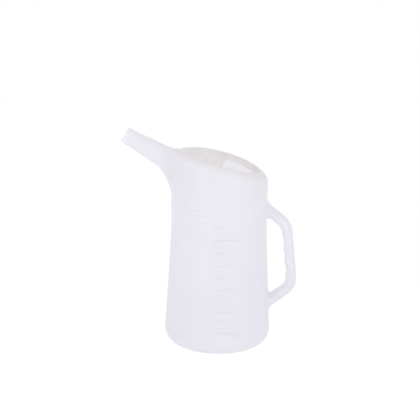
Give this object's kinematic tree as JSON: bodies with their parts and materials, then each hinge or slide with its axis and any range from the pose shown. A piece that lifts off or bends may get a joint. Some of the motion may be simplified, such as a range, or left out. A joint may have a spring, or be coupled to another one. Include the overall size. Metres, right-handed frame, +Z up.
{
  "type": "calf drenching jug",
  "caption": "Round blow-moulded jug with a slanted deck, a D-shaped filling opening, a rising tapered spout and a hollow grooved handle.",
  "frame": {"origin": "body axis at the plane that the jug rests on", "axes": "+Z up the body axis, +X towards the handle, -X towards the spout"},
  "size_m": [0.2533, 0.152, 0.3073],
  "materials": {
    "shell": "natural polyethylene, milky and slightly translucent, satin",
    "deck": "natural polyethylene, milky, satin",
    "marks": "raised in the mould, same polyethylene"
  },
  "bodies": {
    "root": {"base_pan": "shell", "base_corner": "shell", "lower_body": "shell", "level_bead": "shell", "upper_body": "shell", "deck_rim": "deck", "top_deck": "deck", "filling_lip": "deck", "spout_root": "shell", "spout_tube": "shell", "spout_tip": "shell", "handle_upper_arm": "shell", "handle_grip": "shell", "handle_lower_arm": "shell", "graduation_lines": "marks", "graduation_numerals": "marks", "capacity_mark": "marks"}
  },
  "joints": []
}
